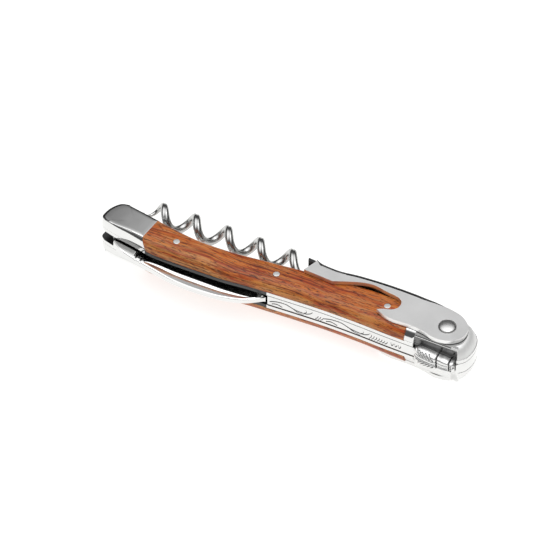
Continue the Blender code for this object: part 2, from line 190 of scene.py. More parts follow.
def along(height, start, end, count):
    """Points on an edge at evenly spaced x."""
    stations = [start + (end - start) * i / count for i in range(count + 1)]
    return [(x, height(x)) for x in stations]


def shifted(height, by):
    """An edge moved across by a distance."""
    return lambda x: height(x) + by


def circle(centre, radius, count):
    """Evenly spaced points on a circle."""
    angles = [math.tau * i / count for i in range(count)]
    return [(centre[0] + radius * math.cos(a), centre[1] + radius * math.sin(a)) for a in angles]


def area(outline):
    """An outline's area, positive if it runs anticlockwise."""
    ends = outline[1:] + outline[:1]
    return sum(a[0] * b[1] - b[0] * a[1] for a, b in zip(outline, ends)) / 2


def drawn_in(outline, by):
    """A closed outline moved inwards by a small distance, or by one distance for each point."""
    amounts = by if isinstance(by, list) else [by] * len(outline)
    turn = 1.0 if area(outline) > 0 else -1.0
    moved = []
    for i, point in enumerate(outline):
        before = Vector(outline[i - 1])
        here = Vector(point)
        after = Vector(outline[(i + 1) % len(outline)])
        first = (here - before).normalized()
        second = (after - here).normalized()
        inward = Vector((-(first.y + second.y), first.x + second.x)) * turn
        if inward.length < 1e-6:
            inward = Vector((-first.y, first.x)) * turn
        inward.normalize()
        square = Vector((-first.y, first.x)) * turn
        stretch = 1.0 / max(inward.dot(square), 0.5)
        here += inward * amounts[i] * stretch
        moved.append((here.x, here.y))
    return moved


# The handle's outline at the slot

BACK_TAIL = [(0.9, -0.45), (4.6, -1.4), (9, -2.0), (12.8, -2.7), (17, -3.7), (22, -3.9), (28, -3.9)]
BACK_MIDDLE = [(40, -3.55), (48, -2.75), (56, -2.25), (64, -1.8), (72, -1.45)]
BACK_HEAD = [(82, -1.45), (92, -1.75), (98, -1.8)]
HANDLE_BACK = edge(BACK_TAIL + BACK_MIDDLE + BACK_HEAD)
BELLY_TAIL = [(4.7, 8.5), (9, 7.9), (14.8, 7.1), (19, 6.6), (26, 5.8), (31, 5.6)]
BELLY_MIDDLE = [(40, 6.0), (48, 7.0), (56, 8.0), (62, 8.8), (70, 9.6), (76, 10.1)]
BELLY_HEAD = [(88, 10.7), (96, 10.9), (102, 11.4), (HEAD_STATION, 12.0)]
HANDLE_BELLY = edge(BELLY_TAIL + BELLY_MIDDLE + BELLY_HEAD)
TAIL_ROUND = smooth([BELLY_TAIL[0], (1.9, 7.7), (0.0, 5.0), (-0.7, 2.0), (-0.5, 0.65), BACK_TAIL[0]])
HEAD_ROUND = smooth([BELLY_HEAD[-1], (113.1, 10.9), (116.0, 8.0), (117.0, 3.9), (116.5, 0.2), (114.9, -2.0)])
SEAT = -1.1


def handle_outline():
    """The liners' outline: belly, head, seat of the bee, back and tail."""
    belly = along(HANDLE_BELLY, 4.7, HEAD_STATION, 90)
    seat = [(SCALLOP_END + 0.1, HEAD_ROUND[-1][1]), (SCALLOP_END, SEAT), (SCALLOP_START, SEAT)]
    back = along(HANDLE_BACK, SCALLOP_START - 0.3, 0.9, 90)
    return belly[:-1] + HEAD_ROUND + seat + back[:-1] + TAIL_ROUND[-1:0:-1]


# Meshes


def flatten_shading(piece):
    """Lets the large faces keep their own normals beside small roundings."""
    weighted = piece.modifiers.new("weighted", "WEIGHTED_NORMAL")
    weighted.mode = "FACE_AREA"
    weighted.weight = 100
    weighted.keep_sharp = True
    baked(piece)


def baked(piece):
    """Replaces an object's mesh with what its modifiers make of it."""
    graph = bpy.context.evaluated_depsgraph_get()
    mesh = bpy.data.meshes.new_from_object(piece.evaluated_get(graph))
    piece.modifiers.clear()
    old = piece.data
    piece.data = mesh
    bpy.data.meshes.remove(old)


def add_piece(name, bm, shader, body="root", sharp=35.0):
    """A piece from plan-millimetre geometry that rides on a body."""
    bmesh.ops.recalc_face_normals(bm, faces=bm.faces)
    for vertex in bm.verts:
        vertex.co = PLAN + vertex.co * MM
    mesh = bpy.data.meshes.new(name)
    bm.to_mesh(mesh)
    bm.free()
    mesh.shade_smooth()
    mesh.set_sharp_from_angle(angle=math.radians(sharp))
    mesh.materials.append(shader)
    piece = bpy.data.objects.new(name, mesh)
    bpy.context.scene.collection.objects.link(piece)
    flatten_shading(piece)
    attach(piece, body)
    return piece


def finish_faces(piece, shader, chosen):
    """Gives another finish to the faces picked by their centre (plan millimetres) and normal."""
    piece.data.materials.append(shader)
    slot = len(piece.data.materials) - 1
    for face in piece.data.polygons:
        if chosen((face.center - PLAN) / MM, face.normal):
            face.material_index = slot


def skin(rings):
    """A closed mesh over rings of equal length."""
    bm = bmesh.new()
    rows = [[bm.verts.new(point) for point in ring] for ring in rings]
    for low, high in zip(rows, rows[1:]):
        for i in range(len(low)):
            j = (i + 1) % len(low)
            bm.faces.new((low[i], low[j], high[j], high[i]))
    bm.faces.new(rows[0][::-1])
    bm.faces.new(rows[-1])
    return bm


def at_height(outline, z):
    """An outline's points in space, all at one height."""
    return [(x, y, z) for x, y in outline]


def plate_rings(outline, low, high, rounding, steps=3):
    """Rings of a plate whose edges are rounded by a small radius."""
    rings = []
    for i in range(steps + 1):
        angle = math.pi / 2 * i / steps
        inset = rounding * (1 - math.sin(angle))
        rings.append(at_height(drawn_in(outline, inset), low + rounding * (1 - math.cos(angle))))
    for i in range(steps + 1):
        angle = math.pi / 2 * (1 - i / steps)
        inset = rounding * (1 - math.sin(angle))
        rings.append(at_height(drawn_in(outline, inset), high - rounding * (1 - math.cos(angle))))
    return rings


def plate(name, outline, low, high, rounding, shader):
    """A flat plate on the handle with rounded edges."""
    return add_piece(name, skin(plate_rings(outline, low, high, rounding)), shader)


def turned(name, centre, profile, shader, body="root", sides=64):
    """A turned piece about Z from (radius, height) pairs, from the bottom up."""
    rings = [at_height(circle(centre, max(radius, 0.01), sides), z) for radius, z in profile]
    return add_piece(name, skin(rings), shader, body, sharp=40.0)


# Materials


class Shader:
    """Short names for building a node material."""

    def __init__(self, name):
        self.material = bpy.data.materials.new(name)
        self.material.use_nodes = True
        self.tree = self.material.node_tree
        self.surface = self.tree.nodes["Principled BSDF"]
        self.coords = self.tree.nodes.new("ShaderNodeTexCoord").outputs["Object"]

    def link(self, source, target):
        self.tree.links.new(source, target)

    def stretched(self, scale):
        """Object coordinates in millimetres, times a scale along each axis."""
        node = self.tree.nodes.new("ShaderNodeMapping")
        node.inputs["Scale"].default_value = [s / MM for s in scale]
        self.link(self.coords, node.inputs["Vector"])
        return node.outputs["Vector"]

    def noise(self, vector, scale=1.0, detail=4.0, roughness=0.55, distortion=0.0):
        node = self.tree.nodes.new("ShaderNodeTexNoise")
        node.inputs["Scale"].default_value = scale
        node.inputs["Detail"].default_value = detail
        node.inputs["Roughness"].default_value = roughness
        node.inputs["Distortion"].default_value = distortion
        self.link(vector, node.inputs["Vector"])
        return node.outputs["Fac"]

    def ramp(self, value, stops):
        node = self.tree.nodes.new("ShaderNodeValToRGB")
        elements = node.color_ramp.elements
        while len(elements) < len(stops):
            elements.new(0.5)
        for element, (position, colour) in zip(elements, stops):
            element.position = position
            element.color = (*colour, 1.0)
        self.link(value, node.inputs["Fac"])
        return node.outputs["Color"]

    def spread(self, value, low, high, out_low, out_high):
        """A value's range from low to high, mapped to another range and held at its ends."""
        node = self.tree.nodes.new("ShaderNodeMapRange")
        limits = {"From Min": low, "From Max": high, "To Min": out_low, "To Max": out_high}
        for socket, number in limits.items():
            node.inputs[socket].default_value = number
        self.link(value, node.inputs["Value"])
        return node.outputs["Result"]

    def mix(self, factor, first, second):
        node = self.tree.nodes.new("ShaderNodeMix")
        node.data_type = "RGBA"
        for socket, value in ((node.inputs[0], factor), (node.inputs[6], first), (node.inputs[7], second)):
            if isinstance(value, (int, float)):
                socket.default_value = value
            elif isinstance(value, tuple):
                socket.default_value = (*value, 1.0)
            else:
                self.link(value, socket)
        return node.outputs[2]

    def maths(self, operation, first, second):
        node = self.tree.nodes.new("ShaderNodeMath")
        node.operation = operation
        for socket, value in zip(node.inputs, (first, second)):
            if isinstance(value, (int, float)):
                socket.default_value = value
            else:
                self.link(value, socket)
        return node.outputs["Value"]

    def separate(self, vector):
        node = self.tree.nodes.new("ShaderNodeSeparateXYZ")
        self.link(vector, node.inputs["Vector"])
        return node.outputs

    def bump(self, height, strength, distance):
        node = self.tree.nodes.new("ShaderNodeBump")
        node.inputs["Strength"].default_value = strength
        node.inputs["Distance"].default_value = distance * MM
        self.link(height, node.inputs["Height"])
        self.link(node.outputs["Normal"], self.surface.inputs["Normal"])

    def set(self, **values):
        """Values on the surface's own sockets, with _ for the spaces of their names."""
        for name, value in values.items():
            self.surface.inputs[name.replace("_", " ")].default_value = value


def steel(name, tint, roughness, spread, grain, scratch):
    """Polished or satin steel: faint cloudy tint, hairline scratches along the piece, uneven polish.

    The grain is the scratches' scale along each axis, and scratch is their bump strength.
    """
    shader = Shader(name)
    shader.set(Metallic=1.0)
    cloud = shader.noise(shader.stretched((0.12, 0.12, 0.12)), 1.0, 3.0)
    low = tuple(c * 0.94 for c in tint)
    shader.link(shader.ramp(cloud, [(0.3, low), (0.7, tint)]), shader.surface.inputs["Base Color"])
    hair = shader.noise(shader.stretched(grain), 1.0, 5.0, 0.65)
    cloudy = shader.spread(cloud, 0.3, 0.7, 0.0, spread)
    hazy = shader.spread(hair, 0.35, 0.7, 0.0, spread)
    polish = shader.maths("ADD", shader.maths("ADD", cloudy, hazy), roughness)
    shader.link(polish, shader.surface.inputs["Roughness"])
    shader.bump(hair, scratch, 0.01)
    return shader.material


def rosewood(name):
    """Oiled reddish hardwood: tan and orange bands, dark red streaks, short black pores along the grain."""
    shader = Shader(name)
    wave = shader.noise(shader.stretched((0.045, 0.13, 0.13)), 1.0, 2.0, 0.5)
    lift = shader.tree.nodes.new("ShaderNodeCombineXYZ")
    shader.link(shader.spread(wave, 0.25, 0.75, -0.55, 0.55), lift.inputs["Y"])

    def grain(scale):
        """Stretched coordinates that waver across the grain."""
        warp = shader.tree.nodes.new("ShaderNodeVectorMath")
        warp.operation = "MULTIPLY_ADD"
        shader.link(lift.outputs["Vector"], warp.inputs[0])
        warp.inputs[1].default_value = (1.0, scale[1] * 2.2, 1.0)
        shader.link(shader.stretched(scale), warp.inputs[2])
        return warp.outputs["Vector"]

    bands = shader.noise(grain((0.028, 0.36, 0.36)), 1.5, 7.0, 0.66, 0.2)
    base = shader.ramp(
        bands,
        [
            (0.30, (0.090, 0.012, 0.003)),
            (0.39, (0.306, 0.042, 0.006)),
            (0.46, (0.558, 0.125, 0.019)),
            (0.53, (0.684, 0.220, 0.037)),
            (0.60, (0.504, 0.084, 0.014)),
            (0.70, (0.738, 0.304, 0.071)),
        ],
    )
    tan = shader.ramp(
        bands,
        [
            (0.30, (0.252, 0.061, 0.014)),
            (0.42, (0.522, 0.167, 0.034)),
            (0.54, (0.702, 0.327, 0.093)),
            (0.70, (0.756, 0.426, 0.149)),
        ],
    )
    side = shader.separate(shader.coords)["Y"]
    broken = shader.maths("MULTIPLY", shader.spread(wave, 0.2, 0.8, -1.0, 1.0), 0.0035)
    tan_share = shader.spread(shader.maths("ADD", side, broken), -0.0080, -0.0040, 0.80, 0.0)
    colour = shader.mix(tan_share, base, tan)
    red = shader.noise(grain((0.035, 0.8, 0.8)), 1.0, 4.0, 0.6, 0.2)
    colour = shader.mix(shader.spread(red, 0.48, 0.62, 0.0, 0.85), colour, (0.42, 0.050, 0.012))
    pale = shader.noise(grain((0.10, 1.5, 1.5)), 1.0, 4.0, 0.6, 0.2)
    colour = shader.mix(shader.spread(pale, 0.50, 0.62, 0.0, 0.55), colour, (0.60, 0.30, 0.13))
    streaks = shader.noise(grain((0.05, 2.3, 2.3)), 1.0, 5.0, 0.65, 0.3)
    colour = shader.mix(shader.spread(streaks, 0.51, 0.66, 0.0, 0.85), colour, (0.11, 0.018, 0.007))
    pores = shader.noise(shader.stretched((0.45, 3.4, 3.4)), 1.0, 3.0, 0.6)
    pore_mask = shader.spread(pores, 0.565, 0.63, 0.0, 0.88)
    colour = shader.mix(pore_mask, colour, (0.035, 0.010, 0.006))
    shader.link(colour, shader.surface.inputs["Base Color"])
    shader.link(shader.spread(streaks, 0.3, 0.7, 0.34, 0.48), shader.surface.inputs["Roughness"])
    shader.set(Coat_Weight=0.12, Coat_Roughness=0.16, Coat_IOR=1.45, Specular_IOR_Level=0.35)
    shader.bump(shader.maths("SUBTRACT", streaks, pore_mask), 0.4, 0.03)
    return shader.material


MIRROR = steel("mirror_steel", (0.80, 0.80, 0.79), 0.055, 0.03, (0.25, 6.0, 6.0), 0.04)
SATIN = steel("satin_steel", (0.88, 0.88, 0.87), 0.30, 0.06, (0.5, 14.0, 14.0), 0.12)
WIRE = steel("worm_steel", (0.50, 0.50, 0.49), 0.13, 0.07, (2.0, 2.0, 2.0), 0.10)
RIVET = steel("rivet_steel", (0.62, 0.62, 0.61), 0.20, 0.10, (3.0, 3.0, 3.0), 0.25)
RELIEF = steel("relief_steel", (0.84, 0.84, 0.83), 0.30, 0.08, (3.0, 3.0, 3.0), 0.10)
# Dark steel that paints shade and dark reflections: in the slot, along the blade, on rims and bends, and in
# carved grooves.
SHADE_PAINT_STEEL = steel("shade_paint_steel", (0.085, 0.085, 0.085), 0.20, 0.10, (0.6, 5.0, 5.0), 0.15)
# Dark steel painted as shade in the hollow above the bee.
HOLLOW_SHADE_PAINT = steel("hollow_shade_paint", (0.16, 0.16, 0.16), 0.14, 0.08, (0.6, 5.0, 5.0), 0.10)
DRUM = steel("drum_steel", (0.96, 0.96, 0.95), 0.62, 0.06, (2.0, 5.0, 5.0), 0.10)
PIN = steel("pin_steel", (0.78, 0.78, 0.77), 0.34, 0.08, (3.0, 3.0, 3.0), 0.08)
WOOD = rosewood("rosewood")


def painted_seat_shade(name):
    """Painted shade in a seam or round a pin, unevenly dark."""
    shader = Shader(name)
    tone = shader.noise(shader.stretched((2.0, 2.0, 2.0)), 1.0, 3.0)
    colour = shader.ramp(tone, [(0.3, (0.02, 0.012, 0.01)), (0.7, (0.06, 0.03, 0.02))])
    shader.link(colour, shader.surface.inputs["Base Color"])
    shader.set(Roughness=0.7)
    shader.bump(tone, 0.2, 0.02)
    return shader.material


SEAT_SHADOW = painted_seat_shade("painted_seat_shade")


# Handle


def above_blade(centre, normal):
    """Whether a face is on the back edge beside the folded blade, where shade and a dark reflection are
    painted.
    """
    return normal.y < -0.3 and PAINTED_SHADE_START < centre.x < SPRING_START


def in_slot(centre, _):
    """Whether a face lines the slot, where shade is painted."""
    return abs(centre.z) < SLOT_HALF + 0.01


def in_hollow(centre, _):
    """Whether a face lines the hollow beside the bee on the top side, where shade is painted."""
    return SCALLOP_START - 0.2 < centre.x < SCALLOP_END - 0.1 and centre.y < -0.7 and 0.0 < centre.z < 6.0


def on_drum(centre, normal):
    """Whether a face is on the round end of the head."""
    return centre.x > DRUM_START and abs(normal.z) < 0.97


def crown_width(x):
    """How far the wood's edge is drawn in at the top of its rounding."""
    middle = min((x - WOOD_START) / CROWN_RUN, (WOOD_END - x) / CROWN_RUN, 1.0)
    return CROWN_END + CROWN_GAIN * max(middle, 0.0)


def tail_joint(height, z, inset):
    """Where an edge of the handle, drawn in by an inset, meets the slanted joint behind the tail cap."""
    x = WOOD_START
    for _ in range(8):
        y = height(x) + inset
        x = WOOD_START + JOINT_SLANT * (y - JOINT_Y) + JOINT_UNDERCUT * (HANDLE_HALF - z)
    return x


def scale_rings(side):
    """Sections of a wooden scale along X: a flat foot and quarter ellipses up to the flat."""
    count, arc, flats = 110, 14, 5
    rise = HANDLE_HALF - SCALE_FOOT
    lines = []
    for height, sign in ((HANDLE_BACK, 1.0), (HANDLE_BELLY, -BELLY_CROWN)):
        edge_lines = []
        for k in range(arc + 1):
            angle = math.pi / 2 * k / arc
            z = SCALE_FOOT + rise * math.sin(angle)
            share = sign * (1 - math.cos(angle))
            start = tail_joint(height, z, share * crown_width(WOOD_START))
            line = []
            for i in range(count + 1):
                x = start + (WOOD_END - start) * i / count
                line.append(Vector((x, height(x) + share * crown_width(x), z * side)))
            line[0].y = height(start) + share * crown_width(WOOD_START)
            edge_lines.append(line)
        lines.append(edge_lines)
    back, belly = lines
    flat = []
    for k in range(1, flats + 1):
        share = k / (flats + 1)
        lift = Vector((0.0, 0.0, 0.05 * side * math.sin(math.pi * share)))
        flat.append([a.lerp(b, share) + lift for a, b in zip(back[-1], belly[-1])])
    return [list(ring) for ring in zip(*(back + flat + belly[::-1]))]


def add_scales():
    """The two wooden scales."""
    for side, label in ((1, "top"), (-1, "bottom")):
        piece = add_piece("wood_scale_" + label, skin(scale_rings(side)), WOOD)
        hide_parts("scale_" + label)


def add_liners():
    """The two steel liners, with painted shade inside the slot, above the folded blade and in the hollow
    beside the bee.
    """
    for side, label in ((1, "top"), (-1, "bottom")):
        low, high = sorted((SLOT_HALF * side, LINER_TOP * side))
        piece = plate("steel_liner_" + label, handle_outline(), low, high, 0.06, MIRROR)
        # Painted shade and dark reflection along the blade and inside the slot.
        finish_faces(piece, SHADE_PAINT_STEEL, above_blade)
        finish_faces(piece, SHADE_PAINT_STEEL, in_slot)
        finish_faces(piece, HOLLOW_SHADE_PAINT, in_hollow)
        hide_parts("liner_" + label)


def tail_bolster_outline(z, share):
    """The tail bolster at one height, belly side first, drawn in by a share of its full rounding."""
    gap = 0.03
    trim, lean = TAIL_TRIM * share, TAIL_LEAN * share
    belly_lean = BELLY_CROWN * (trim + lean) - trim
    belly_end = tail_joint(HANDLE_BELLY, z, -trim - belly_lean) - gap
    back_end = tail_joint(HANDLE_BACK, z, trim + lean) - gap
    belly = along(HANDLE_BELLY, BELLY_TAIL[0][0], belly_end, 24)
    back = along(HANDLE_BACK, back_end, BACK_TAIL[0][0], 28)
    outline = [(x, y - trim - belly_lean * (x / belly_end)) for x, y in belly]
    outline += [(x, y + trim + lean * (x / back_end)) for x, y in back]
    for x, y in TAIL_ROUND[-2:0:-1]:
        away = Vector((x - TAIL_CENTRE[0], y - TAIL_CENTRE[1])).normalized() * trim
        outline.append((x - away.x, y - away.y))
    return outline


def tail_slope(x):
    """How far the tail bolster's top falls away towards the tail."""
    return 0.40 * (max(WOOD_START - x, 0.0) / 15.0) ** 2


def add_tail_bolsters():
    """Tail bolsters whose edges are rounded like the wood they continue."""
    rise = HANDLE_HALF - SCALE_FOOT
    steps = 14
    for side, label in ((1, "top"), (-1, "bottom")):
        rings = []
        for k in range(steps + 1):
            angle = math.pi / 2 * k / steps
            height = SCALE_FOOT + rise * math.sin(angle)
            drop = math.sin(angle) ** 3
            ring = tail_bolster_outline(height, 1 - math.cos(angle))
            rings.append([(x, y, side * (height - drop * tail_slope(x))) for x, y in ring])
        centre = Vector((9.0, 3.0, 0.0))
        for share in (0.93, 0.75, 0.5, 0.25):
            ring = [centre + (Vector(point) - centre) * share for point in rings[steps]]
            rings.append([(x, y, side * (HANDLE_HALF + 0.02 - tail_slope(x))) for x, y, _ in ring])
        piece = add_piece("tail_cap_" + label, skin(rings), MIRROR, sharp=30.0)

        def outer_edge(centre, normal):
            """Whether a face is on the rim of the belly side or of the tail's end, where a dark reflection is
            painted.
            """
            far = normal.y > 0.0 or (normal.x < -0.5 * abs(normal.y) and centre.x < 2.0)
            tilt = abs(normal.z)
            away = min(math.hypot(centre.x - x, centre.y - y) for x, y, _ in rings[steps])
            rim = tilt > 0.9 and away < 0.45 and (centre.y > 3.4 or centre.x < 2.5)
            return centre.z * side > 4.0 and (rim or (0.45 < tilt < 0.985 if far else 0.82 < tilt < 0.92))

        # Painted dark reflection along the rim.
        finish_faces(piece, SHADE_PAINT_STEEL, outer_edge)
        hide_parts("tail_bolster_" + label)


def head_bolster_outline(scallop, trim):
    """The head bolster at one height, with the hollow's depth and the barrel's draw there."""
    start = WOOD_END + 0.03
    belly = along(shifted(HANDLE_BELLY, -trim), start, HEAD_STATION, 14)
    round_end = []
    for x, y in HEAD_ROUND[1:]:
        away = Vector((x - LEVER_PIVOT[0], y - LEVER_PIVOT[1])).normalized() * trim
        round_end.append((x - away.x, y - away.y))
    corner_x, corner_y = round_end[-1]
    step = [(SCALLOP_END + 0.1 + 0.2 * (corner_x - SCALLOP_END), corner_y)]
    count = 20
    hollow = [(SCALLOP_END - i * (SCALLOP_END - SCALLOP_START) / count, scallop) for i in range(count + 1)]
    facet = [(x, y + trim) for x, y in along(HANDLE_BACK, SCALLOP_START - 0.3, start, 5)]
    return belly + round_end + step + hollow + facet


def add_head_bolsters():
    """Head bolsters with a barrel-shaped round end, hollowed beside the bee."""
    rise = HANDLE_HALF - BARREL_START
    scallop_levels = [(4.0, -1.0), (4.9, -1.15), (5.7, -1.3), (6.2, -1.2)]
    scallop = edge([(SCALE_FOOT, -1.0)] + scallop_levels + [(HANDLE_HALF, -0.9)])
    heights = [SCALE_FOOT] + [BARREL_START + rise * math.sin(math.radians(a)) for a in range(20, 91, 5)]
    for side, label in ((1, "top"), (-1, "bottom")):
        rings = []
        for z in heights:
            share = (z - BARREL_START) / rise
            trim = BARREL_TRIM * (1 - math.sqrt(max(1 - share**2, 0.0)))
            rings.append(at_height(head_bolster_outline(scallop(z), trim), z * side))
        piece = add_piece("head_cap_" + label, skin(rings), MIRROR, sharp=30.0)
        finish_faces(piece, DRUM, on_drum)
        # The hollow above the bee gets painted shade.
        finish_faces(piece, HOLLOW_SHADE_PAINT, in_hollow)
        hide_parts("head_bolster_" + label)


def add_head_spacer():
    """The block that fills the slot at the head."""
    belly = along(HANDLE_BELLY, 99.4, HEAD_STATION, 12)
    seat = [(114.5, -2.7), (114.5, 1.0), (108.0, 2.3), (99.4, 2.3)]
    outline = belly[:-1] + HEAD_ROUND + seat
    piece = plate("head_block", outline, -SPRING_HALF, SPRING_HALF, 0.08, MIRROR)
    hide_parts("head_spacer")


def engraved_lines():
    """Leaf scrolls along the spring's back, as polylines in (x, z), with short strokes between them."""
    stem = [(0.0, 0.0), (1.5, 0.55), (2.9, 0.8), (5.1, 0.82)]
    stem += [(7.6, -0.1), (10.9, -0.45), (12.5, 0.1), (13.3, 0.85)]
    leaves = [
        [(0.7, -0.65), (2.2, -0.25), (3.8, -0.75)],
        [(7.4, -0.1), (8.6, -0.75), (10.4, -1.05)],
        [(10.6, -0.45), (11.4, 0.15), (11.2, 0.9)],
    ]
    lines = []
    for start, stretch, flip in ((55.0, 1.0, 1), (71.8, 1.12, 1)):
        for curve in [stem] + leaves:
            lines.append([(start + x * stretch, z * flip) for x, z in smooth(curve, 5)])
    for x in (69.3, 70.1, 70.9):
        lines.append([(x, -1.0), (x + 0.5, -0.55), (x + 0.8, 0.1)])
    for k in range(7):
        x = 86.4 + 0.85 * k
        lines.append([(x, -1.05 + 0.05 * k), (x + 0.55, -0.45), (x + 0.8, 0.5 - 0.06 * k)])
    for x in (93.4, 94.6, 95.8):
        lines.append(smooth([(x, 0.6), (x + 0.1, -0.1), (x + 0.5, -0.35), (x + 0.8, 0.4)], 4))
    return lines


def distance_to_lines(x, z, lines):
    """The distance from each point of two arrays to the nearest of the polylines."""
    nearest = np.full(x.shape, 1e3)
    for line in lines:
        for (x0, z0), (x1, z1) in zip(line, line[1:]):
            dx, dz = x1 - x0, z1 - z0
            t = np.clip(((x - x0) * dx + (z - z0) * dz) / (dx * dx + dz * dz), 0, 1)
            nearest = np.minimum(nearest, np.hypot(x - x0 - t * dx, z - z0 - t * dz))
    return nearest


def height_field(name, xs, zs, height, base, shader, grooves):
    """A closed slab on a base surface: height(x, z) and base(x) are y values, and the grooves are painted
    dark as shade.
    """
    bm = bmesh.new()
    outer = []
    for i, x in enumerate(xs):
        outer.append([bm.verts.new((x, height[i][k], z)) for k, z in enumerate(zs[i])])
    inner = []
    for i, x in enumerate(xs):
        inner.append([bm.verts.new((x, base[i], z)) for z in zs[i]])
    last_x, last_z = len(xs) - 1, len(zs[0]) - 1
    for i in range(last_x):
        for k in range(last_z):
            face = bm.faces.new((outer[i][k], outer[i + 1][k], outer[i + 1][k + 1], outer[i][k + 1]))
            face.material_index = int(grooves[i][k])
            bm.faces.new((inner[i][k], inner[i][k + 1], inner[i + 1][k + 1], inner[i + 1][k]))
        bm.faces.new((outer[i][0], inner[i][0], inner[i + 1][0], outer[i + 1][0]))
        bm.faces.new((outer[i][last_z], outer[i + 1][last_z], inner[i + 1][last_z], inner[i][last_z]))
    for k in range(last_z):
        bm.faces.new((outer[0][k], outer[0][k + 1], inner[0][k + 1], inner[0][k]))
        bm.faces.new((outer[last_x][k], inner[last_x][k], inner[last_x][k + 1], outer[last_x][k + 1]))
    piece = add_piece(name, bm, shader, sharp=50.0)
    # The grooves' second finish is painted shade.
    piece.data.materials.append(SHADE_PAINT_STEEL)
    return piece


def add_back_spring():
    """The back spring: its body, the engraved strip on its back, and the seam below the strip, painted dark
    as shade.
    """
    start, end = SPRING_START, SCALLOP_START + 0.2
    back = along(shifted(HANDLE_BACK, 0.1), start, end, 30)
    under_bee = [(101.0, SEAT), (SCALLOP_END, SEAT), (SCALLOP_END, 0.8)]
    inside = [(107.8, 2.0), (99.0, 1.9), (88.0, 1.7), (70.0, 1.8)]
    belly_of_arm = smooth([(62.0, 2.4), (55.0, 3.9), (46.0, 4.7), (30.0, 4.8), (16.0, 4.9), (11.6, 5.4)])
    back_of_arm = smooth([(11.6, 3.4), (16.0, 3.0), (30.0, 2.7), (46.0, 2.3), (53.0, 1.2), (54.3, 0.2)])
    outline = back + under_bee + inside + belly_of_arm + back_of_arm
    piece = plate("spring_body", outline, -SPRING_HALF + 0.05, SPRING_HALF - 0.05, 0.1, MIRROR)
    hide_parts("back_spring")
    columns, half_rows = 900, 30
    xs = [start + (end - start) * i / columns for i in range(columns + 1)]
    low, high = -SPRING_HALF + 0.52, SPRING_HALF + 0.08
    middle, half = (low + high) / 2, (high - low) / 2
    across = [middle + half * math.sin(math.pi / 2 * k / half_rows) for k in range(-half_rows, half_rows + 1)]
    grid_x, grid_z = np.meshgrid(xs, across, indexing="ij")
    away = distance_to_lines(grid_x, grid_z, engraved_lines())
    cut = 0.19 * np.exp(-((away / 0.115) ** 2))
    crown = 0.05 * (grid_z / SPRING_HALF) ** 8
    surface = np.array([HANDLE_BACK(x) - 0.2 for x in xs])[:, None] + cut + crown
    base = [HANDLE_BACK(x) + 0.25 for x in xs]
    # The engraved lines get painted shade.
    strip = height_field("spring_engraving", xs, [across] * len(xs), surface, base, MIRROR, away < 0.085)
    front = along(shifted(HANDLE_BACK, -0.19), start, end, 300)
    seam = front + [(x, y + 0.24) for x, y in front[::-1]]
    seam_rings = [at_height(seam, -SPRING_HALF - 0.06), at_height(seam, low)]
    # A strip of painted shade in the seam.
    line = add_piece("spring_seam", skin(seam_rings), SEAT_SHADOW)


def bee_lines():
    """The bee's fine veins, its bold cross bands, and the places of the pits on its head."""
    fine = [[(0.2, -0.2), (7.5, -0.2)], [(8.0, -0.2), (10.9, -0.2)]]
    for side in (-1, 1):
        fine.append([(0.8, 0.9 * side), (3.6, 0.8 * side), (7.4, 0.8 * side), (10.9, 0.7 * side)])
        for j in range(5):
            foot = 0.9 + 1.05 * j
            fine.append([(foot, 2.5 * side), (foot + 1.6, 1.15 * side)])
    bands = []
    for station, reach in ((7.2, 2.9), (11.05, 2.2)):
        angles = np.linspace(-1.5, 1.5, 15)
        bands.append([(station + 0.35 * math.cos(a), reach * math.sin(a)) for a in angles])
    pits = [(11.9, 0.85), (11.95, 0.0), (11.9, -0.85), (12.6, 0.4)]
    return fine, bands, pits


def add_bee():
    """A bee in relief: folded wings with veins, a banded body, and a head with small pits."""
    length, columns, half_rows = 13.0, 260, 45
    xs = [length * i / columns for i in range(columns + 1)]
    shares = [math.sin(math.pi / 2 * k / half_rows) for k in range(-half_rows, half_rows + 1)]
    wing_widths = [(0.0, 2.2), (1.0, 2.85), (2.6, 3.05), (4.6, 2.95), (6.6, 2.75), (7.7, 2.45)]
    body_widths = [(9.4, 2.45), (11.0, 2.1), (11.3, 1.95), (12.3, 1.85), (13.0, 1.3)]
    half_width = edge(wing_widths + body_widths)
    wing_heights = [(0.0, 1.2), (1.0, 1.8), (2.6, 2.3), (4.6, 2.5), (6.6, 2.6), (7.7, 2.3)]
    height = edge(wing_heights + [(9.4, 2.45), (11.2, 2.2), (12.3, 1.95), (13.0, 1.4)])
    grid = np.array([[half_width(x) * s for s in shares] for x in xs])
    grid_x = np.array(xs)[:, None] + 0 * grid
    share = np.array(shares)[None, :] + 0 * grid
    dome = np.array([height(x) for x in xs])[:, None] * np.clip(1 - np.abs(share) ** 8, 0, 1) ** 0.7
    fine, bands, pits = bee_lines()
    to_fine = distance_to_lines(grid_x, grid, fine)
    to_bands = distance_to_lines(grid_x, grid, bands)
    pitted = np.zeros_like(grid)
    for px, pz in pits:
        pitted += np.exp(-(((grid_x - px) ** 2 + (grid - pz) ** 2) / 0.06))
    carved = dome - 0.42 * np.exp(-((to_fine / 0.13) ** 2))
    carved = carved - 0.60 * np.exp(-((to_bands / 0.17) ** 2)) - 0.6 * pitted
    # Grooves and pits that get painted shade.
    grooves = (to_fine < 0.11) | (to_bands < 0.16) | (pitted > 0.4)
    surface = -1.2 - np.maximum(carved, 0.02)
    stations = [BEE_START + x for x in xs]
    base = [-1.15] * len(xs)
    piece = height_field("bee_ornament", stations, grid.tolist(), surface, base, RELIEF, grooves)
    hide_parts("bee")


# Moving pieces


